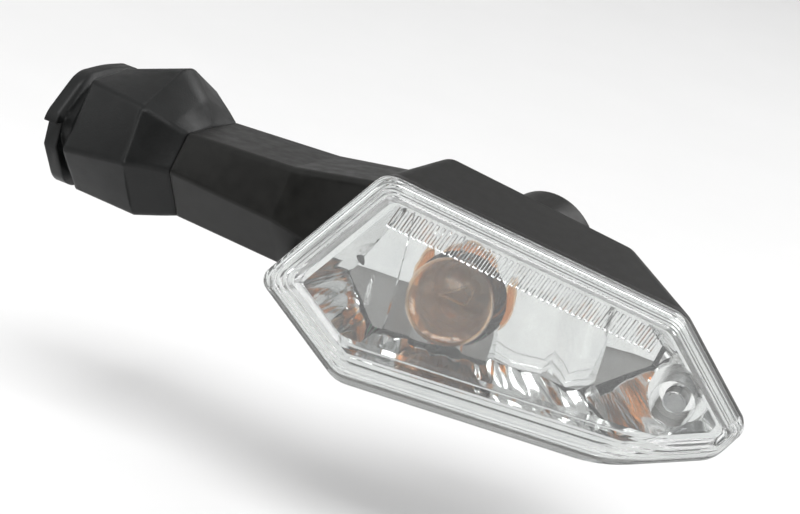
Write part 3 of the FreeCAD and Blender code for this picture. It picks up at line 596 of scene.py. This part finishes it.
def sleeve_patch(mesh):
    """A short sleeve round the front of the screw pillar, well inside the housing."""
    centre = (SCREW_ALONG, SCREW_UP)
    cup_depth = BOSS_END + CUP_GAP
    profile = ((SLEEVE_RADIUS, SLEEVE_BACK),
               (SLEEVE_RADIUS, SLEEVE_TOP + SLEEVE_EDGE),
               (SLEEVE_RADIUS - SLEEVE_EDGE, SLEEVE_TOP),
               (BOSS_RADIUS + BOSS_CLEARANCE, SLEEVE_TOP),
               (BOSS_RADIUS + BOSS_CLEARANCE, cup_depth),
               (HOLE_RADIUS + HOLE_CLEARANCE, cup_depth))
    loops = []
    for radius, depth in profile:
        ring = ring_points(centre, radius, depth, CIRCLE_STEPS)
        loops.append([mesh.verts.new(spot) for spot in ring])
    skin_all(mesh, loops)


BOWL_WALL = 0.24
BOWL_SMOOTH = 25


def make_reflector():
    """Metallised bowl: fluted walls and a faceted floor."""
    mesh = bmesh.new()
    flange_patch(mesh)
    sleeve_patch(mesh)
    for index in range(len(MOUTH)):
        wall_patch(mesh, index)
    floor_patch(mesh)
    bmesh.ops.remove_doubles(mesh, verts=mesh.verts, dist=WELD)
    bowl = new_piece("reflector_bowl", mesh, "arm", "reflector_metallised")
    wall = bowl.modifiers.new("wall", "SOLIDIFY")
    wall.thickness = BOWL_WALL * MM
    wall.offset = 0.0
    baked(bowl)
    bowl.data.set_sharp_from_angle(angle=math.radians(BOWL_SMOOTH))
    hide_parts("reflector")
    return bowl


# ---------------------------------------------------------------- rubber boot

BOOT_SPLIT_X = 15.0
CUT_PITCH = 1.0
SEAM_GAP = 0.28
SEAM_EDGE = 0.4
END_BAND = 0.1
NEARLY_SQUARE = 0.99
BEFORE_BOOT = -1
PAST_BOOT = 99
BOOT_SMOOTH = 28.0


def close_seam(mesh, high_x):
    """Raise the middle of the boot's end face to the stalk, leaving a groove at the outside."""
    end = [face for face in mesh.faces
           if face.normal.x > NEARLY_SQUARE
           and face.calc_center_median().x > high_x - END_BAND * MM]
    bmesh.ops.inset_region(mesh, faces=end, thickness=SEAM_EDGE * MM)
    for corner in {corner for face in end for corner in face.verts}:
        corner.co.x += SEAM_GAP * MM


def boot_half(name, keep_low, keep_high):
    """Part of the boot between two x values, cut finely so that it can bend."""
    mesh = bmesh.new()
    mesh.from_mesh(NODES["rubber_boot"].data)
    bmesh.ops.remove_doubles(mesh, verts=mesh.verts, dist=WELD)
    low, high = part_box("rubber_boot")
    first = math.floor(low.x / MM)
    last = math.ceil(high.x / MM)
    for step in range(first, last):
        bmesh.ops.bisect_plane(mesh, geom=mesh.verts[:] + mesh.edges[:] + mesh.faces[:],
                               plane_co=(step * CUT_PITCH * MM, 0, 0), plane_no=(1, 0, 0))
    outside = [face for face in mesh.faces
               if not keep_low <= face.calc_center_median().x / MM <= keep_high]
    bmesh.ops.delete(mesh, geom=outside, context="FACES")
    mesh.normal_update()
    close_seam(mesh, high.x)
    piece = new_piece(name, mesh, None, "boot_rubber", smooth_angle=BOOT_SMOOTH)
    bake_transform(piece)
    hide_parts("rubber_boot")
    return piece


def make_boot():
    """The boot in two halves, split across its length at BOOT_SPLIT_X."""
    inner = boot_half("boot_inner_half", BEFORE_BOOT, BOOT_SPLIT_X)
    outer = boot_half("boot_outer_half", BOOT_SPLIT_X, PAST_BOOT)
    return [inner, outer]


# ---------------------------------------------------------------- contact spring

def make_spring():
    """The contact's spring, copied from the CAD spring into a mesh of its own and riding on the arm."""
    mesh = bmesh.new()
    mesh.from_mesh(NODES["socket_spring"].data)
    bmesh.ops.remove_doubles(mesh, verts=mesh.verts, dist=WELD)
    spring = new_piece("socket_spring_coil", mesh, "arm", SLOTS["socket_spring"])
    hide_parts("socket_spring")
    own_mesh(spring)
    return spring


# ---------------------------------------------------------------- screw thread

THREAD_PITCH = 0.9
THREAD_TURNS = 10
THREAD_STEPS = 28
THREAD_ROWS = 4
THREAD_START = 6.6
THREAD_CORE = 1.95
THREAD_HEIGHT = 0.32
THREAD_SMOOTH = 50.0


def make_thread():
    """Raised thread on the lens screw's shank."""
    mesh = bmesh.new()
    grid = []
    for row in range(THREAD_TURNS * THREAD_ROWS + 1):
        depth = THREAD_START - row * THREAD_PITCH / THREAD_ROWS
        line = []
        for step in range(THREAD_STEPS):
            turn = 2 * math.pi * step / THREAD_STEPS
            phase = (row / THREAD_ROWS + step / THREAD_STEPS) % 1.0
            radius = THREAD_CORE + THREAD_HEIGHT * (1 - abs(2 * phase - 1))
            along = SCREW_ALONG + radius * math.cos(turn)
            up = SCREW_UP + radius * math.sin(turn)
            line.append(mesh.verts.new(place(along, depth, up)))
        grid.append(line)
    skin_all(mesh, grid)
    mesh.faces.new(grid[0])
    mesh.faces.new(grid[-1])
    return new_piece("lens_screw_thread", mesh, "arm", "steel_zinc",
                     smooth_angle=THREAD_SMOOTH)


# ---------------------------------------------------------------- materials

def new_material(name):
    """A material with its node tree, its links and its main shader."""
    material = bpy.data.materials.new(name)
    material.use_nodes = True
    shader = material.node_tree.nodes["Principled BSDF"]
    return material, material.node_tree, shader


def set_inputs(node, values):
    """Set a node's own sockets by name."""
    for name, value in values.items():
        node.inputs[name].default_value = value


PATCH_SHARE = 12


def noise_node(tree, scale, detail=4.0, roughness=0.55):
    """Object-space noise; scale is in features per metre."""
    coordinates = tree.nodes.new("ShaderNodeTexCoord")
    noise = tree.nodes.new("ShaderNodeTexNoise")
    set_inputs(noise, {"Scale": scale, "Detail": detail, "Roughness": roughness})
    tree.links.new(coordinates.outputs["Object"], noise.inputs["Vector"])
    return noise


def ramp_node(tree, source, low, high, start=0.3, end=0.7):
    """Map a noise value on to a range of colours or greys."""
    ramp = tree.nodes.new("ShaderNodeValToRGB")
    ramp.color_ramp.elements[0].position = start
    ramp.color_ramp.elements[1].position = end
    ramp.color_ramp.elements[0].color = low
    ramp.color_ramp.elements[1].color = high
    tree.links.new(source, ramp.inputs["Fac"])
    return ramp


def grey(value):
    """An opaque grey."""
    return (value, value, value, 1.0)


def add_bump(tree, shader, source, strength, distance, edge_radius=0.0):
    """Bump from a height, on top of softened edges where asked."""
    bump = tree.nodes.new("ShaderNodeBump")
    set_inputs(bump, {"Strength": strength, "Distance": distance})
    tree.links.new(source, bump.inputs["Height"])
    if edge_radius:
        soft = tree.nodes.new("ShaderNodeBevel")
        soft.samples = 6
        set_inputs(soft, {"Radius": edge_radius})
        tree.links.new(soft.outputs["Normal"], bump.inputs["Normal"])
    tree.links.new(bump.outputs["Normal"], shader.inputs["Normal"])


def surface(name, low, high, rough, scale, bump, distance, inputs, edge_radius=0.0):
    """A material with noise in its colour, its roughness and its bump."""
    material, tree, shader = new_material(name)
    patches = noise_node(tree, scale / PATCH_SHARE, 3.0)
    colour = ramp_node(tree, patches.outputs["Fac"], low, high)
    tree.links.new(colour.outputs["Color"], shader.inputs["Base Color"])
    shine = ramp_node(tree, patches.outputs["Fac"], grey(rough[0]), grey(rough[1]))
    tree.links.new(shine.outputs["Color"], shader.inputs["Roughness"])
    grain = noise_node(tree, scale)
    add_bump(tree, shader, grain.outputs["Fac"], bump, distance, edge_radius)
    set_inputs(shader, inputs)
    return material


def glass(name, tint_low, tint_high, rough, ior, wave, clearness=1.0):
    """Clear or tinted glass with faint moulding waves, a little milky below a clearness of 1."""
    return surface(name, tint_low, tint_high, rough, 900.0, wave, 0.00005,
                   {"Transmission Weight": clearness, "IOR": ior, "Specular IOR Level": 0.5})


def make_materials():
    """Every material by its slot name."""
    metal = {"Metallic": 1.0}
    return {
        "boot_rubber": surface("boot_rubber", (0.0025, 0.003, 0.003, 1), (0.005, 0.0055, 0.0055, 1),
                               (0.36, 0.48), 2600.0, 0.25, 0.00012,
                               {"Specular IOR Level": 0.26}, 0.0007),
        "housing_plastic": surface("housing_plastic", (0.003, 0.003, 0.0025, 1),
                                   (0.006, 0.006, 0.005, 1), (0.30, 0.42), 4200.0, 0.16, 0.00006,
                                   {"Specular IOR Level": 0.26}, 0.0007),
        "lens_clear": glass("lens_clear", (0.90, 0.915, 0.91, 1), (0.94, 0.95, 0.945, 1),
                            (0.0, 0.02), 1.5, 0.06, 0.93),
        "reflector_metallised": surface("reflector_metallised", (0.80, 0.81, 0.81, 1),
                                        (0.87, 0.87, 0.86, 1), (0.03, 0.08), 700.0, 0.05,
                                        0.00005, metal),
        "seal_rubber": surface("seal_rubber", (0.02, 0.02, 0.02, 1), (0.035, 0.035, 0.035, 1),
                               (0.6, 0.75), 3000.0, 0.2, 0.0001, {}),
        "steel_zinc": surface("steel_zinc", (0.30, 0.31, 0.32, 1), (0.42, 0.42, 0.42, 1),
                              (0.28, 0.42), 2500.0, 0.12, 0.00005, metal),
        "nickel_cap": surface("nickel_cap", (0.66, 0.64, 0.60, 1), (0.76, 0.74, 0.70, 1),
                              (0.14, 0.26), 2000.0, 0.1, 0.00005, metal),
        "brass": surface("brass", (0.66, 0.48, 0.2, 1), (0.8, 0.6, 0.3, 1), (0.2, 0.34), 2000.0,
                         0.1, 0.00005, metal),
        "solder": surface("solder", (0.5, 0.5, 0.5, 1), (0.62, 0.62, 0.62, 1), (0.35, 0.5),
                          2000.0, 0.2, 0.0001, metal),
        "bulb_amber": glass("bulb_amber", (0.99, 0.50, 0.17, 1), (0.99, 0.60, 0.26, 1),
                            (0.02, 0.06), 1.5, 0.05, 0.90),
        "stem_glass": glass("stem_glass", (0.85, 0.9, 0.87, 1), (0.93, 0.95, 0.93, 1),
                            (0.02, 0.06), 1.5, 0.1),
        "insulator_black": surface("insulator_black", (0.02, 0.017, 0.015, 1),
                                   (0.04, 0.034, 0.03, 1), (0.25, 0.4), 2500.0, 0.1, 0.00005, {}),
        "tungsten": surface("tungsten", (0.3, 0.3, 0.32, 1), (0.45, 0.45, 0.47, 1), (0.3, 0.45),
                            4000.0, 0.2, 0.00003, metal),
        "lead_black": surface("lead_black", (0.012, 0.012, 0.012, 1), (0.02, 0.02, 0.02, 1),
                              (0.35, 0.5), 2500.0, 0.1, 0.00005, {}),
        "lead_green": surface("lead_green", (0.03, 0.2, 0.07, 1), (0.05, 0.28, 0.1, 1),
                              (0.35, 0.5), 2500.0, 0.1, 0.00005, {}),
    }


def paint(piece, material):
    """Give a piece one material."""
    piece.data.materials.clear()
    piece.data.materials.append(material)


def paint_all(materials, pieces):
    """Materials on the new pieces and on every CAD node."""
    for node, slot in SLOTS.items():
        paint(NODES[node], materials[slot])
    for piece in pieces:
        paint(piece, materials[piece["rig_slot"]])


# ---------------------------------------------------------------- stage

FLOOR_HALF = 3.0
FLOOR_GAP = 0.003


COVE_RADIUS = 0.5
COVE_STEPS = 8
WALL_HEIGHT = 2.0
WALL_TURNS = (20, 250)
WALL_STEPS = 46


def floor_level():
    """A height that the lamp stays above when the stalk bends right down."""
    bend = JOINTS["flex_up_down"]
    drop = (CAD_HIGH.x - bend["pos_m"][0]) * math.sin(math.radians(max(bend["range_deg"])))
    return CAD_LOW.z - drop - FLOOR_GAP


def make_floor(paper):
    """A wide pale floor."""
    mesh = bmesh.new()
    corners = ((-1, -1), (1, -1), (1, 1), (-1, 1))
    mesh.faces.new([mesh.verts.new((x * FLOOR_HALF, y * FLOOR_HALF, floor_level()))
                    for x, y in corners])
    floor = new_piece("floor", mesh, None)
    paint(floor, paper)


def make_backdrop(paper):
    """A pale curved wall behind and to the left, rising from the floor in a cove."""
    inner = FLOOR_HALF - COVE_RADIUS
    profile = []
    for step in range(COVE_STEPS + 1):
        lift = math.pi / 2 * step / COVE_STEPS
        profile.append((inner + COVE_RADIUS * math.sin(lift), COVE_RADIUS * (1 - math.cos(lift))))
    profile.append((FLOOR_HALF, WALL_HEIGHT))
    mesh = bmesh.new()
    rows = []
    for step in range(WALL_STEPS + 1):
        turn = math.radians(WALL_TURNS[0] + (WALL_TURNS[1] - WALL_TURNS[0]) * step / WALL_STEPS)
        rows.append([mesh.verts.new((reach * math.cos(turn), reach * math.sin(turn),
                                     floor_level() - MM + height)) for reach, height in profile])
    skin_grid(mesh, rows)
    wall = new_piece("backdrop", mesh, None)
    paint(wall, paper)


def make_stage():
    """Floor and backdrop in one pale paper."""
    paper = surface("studio_paper", grey(0.815), grey(0.825), (0.8, 0.9), 300.0, 0.02, 0.0001, {})
    make_floor(paper)
    make_backdrop(paper)


HORIZON = (0.20, 0.19, 0.18, 1)
HORIZON_RISE = 0.05
ZENITH_RISE = 0.75
SKY_STRENGTH = 0.8


def make_world():
    """Bright overhead, dimmer towards the horizon."""
    world = bpy.data.worlds.new("studio")
    bpy.context.scene.world = world
    world.use_nodes = True
    tree = world.node_tree
    background = tree.nodes["Background"]
    coordinates = tree.nodes.new("ShaderNodeTexCoord")
    parts = tree.nodes.new("ShaderNodeSeparateXYZ")
    tree.links.new(coordinates.outputs["Generated"], parts.inputs["Vector"])
    ramp = ramp_node(tree, parts.outputs["Z"], HORIZON, grey(1.0), HORIZON_RISE,
                     ZENITH_RISE)
    tree.links.new(ramp.outputs["Color"], background.inputs["Color"])
    background.inputs["Strength"].default_value = SKY_STRENGTH


def make_light(name, spot, aim, width, height, power):
    """A soft rectangular light."""
    data = bpy.data.lights.new(name, "AREA")
    data.shape = "RECTANGLE"
    data.size = width
    data.size_y = height
    data.energy = power
    light = bpy.data.objects.new(name, data)
    bpy.context.scene.collection.objects.link(light)
    light.location = spot
    light.rotation_mode = "QUATERNION"
    light.rotation_quaternion = (Vector(aim) - Vector(spot)).to_track_quat("-Z", "Y")


def make_lights(centre):
    """Soft key from above and in front, a fill from the left and a rim from behind."""
    make_light("key", centre + Vector((0.1, -0.35, 0.75)), centre, 0.6, 0.45, 5.0)
    make_light("fill", centre + Vector((-0.7, -0.5, 0.35)), centre, 0.5, 0.5, 1.5)
    make_light("rim", centre + Vector((0.3, 0.7, 0.55)), centre, 0.6, 0.3, 2.0)


AZIMUTH = 22.5
ELEVATION = 15.5
ROLL = 15.0
DISTANCE = 0.64
FOCAL = 135.0
AIM_RIGHT = 0.06613
AIM_UP = -0.02901


def make_camera():
    """Long lens from the front left of the lamp, a little above it and rolled."""
    azimuth, elevation = math.radians(AZIMUTH), math.radians(ELEVATION)
    back = Vector((math.sin(azimuth) * math.cos(elevation),
                   -math.cos(azimuth) * math.cos(elevation), math.sin(elevation)))
    level = Vector((math.cos(azimuth), math.sin(azimuth), 0))
    basis = Matrix((level, back.cross(level), back)).transposed()
    basis = basis @ Matrix.Rotation(math.radians(ROLL), 3, "Z")
    data = bpy.data.cameras.new("camera")
    data.lens = FOCAL
    data.sensor_width = 36.0
    data.clip_start = 0.01
    camera = bpy.data.objects.new("camera", data)
    bpy.context.scene.collection.objects.link(camera)
    aim = basis.col[0] * AIM_RIGHT + basis.col[1] * AIM_UP
    camera.matrix_world = Matrix.Translation(aim + back * DISTANCE) @ basis.to_4x4()
    bpy.context.scene.camera = camera


def build():
    """Make every piece, then the stage."""
    pieces = make_boot()
    pieces.append(make_lens())
    pieces.append(make_reflector())
    pieces.append(make_thread())
    pieces.append(make_spring())
    paint_all(make_materials(), pieces)
    make_stage()
    make_world()
    make_lights((CAD_LOW + CAD_HIGH) / 2)
    make_camera()
    bpy.context.scene.view_settings.view_transform = "Standard"


build()
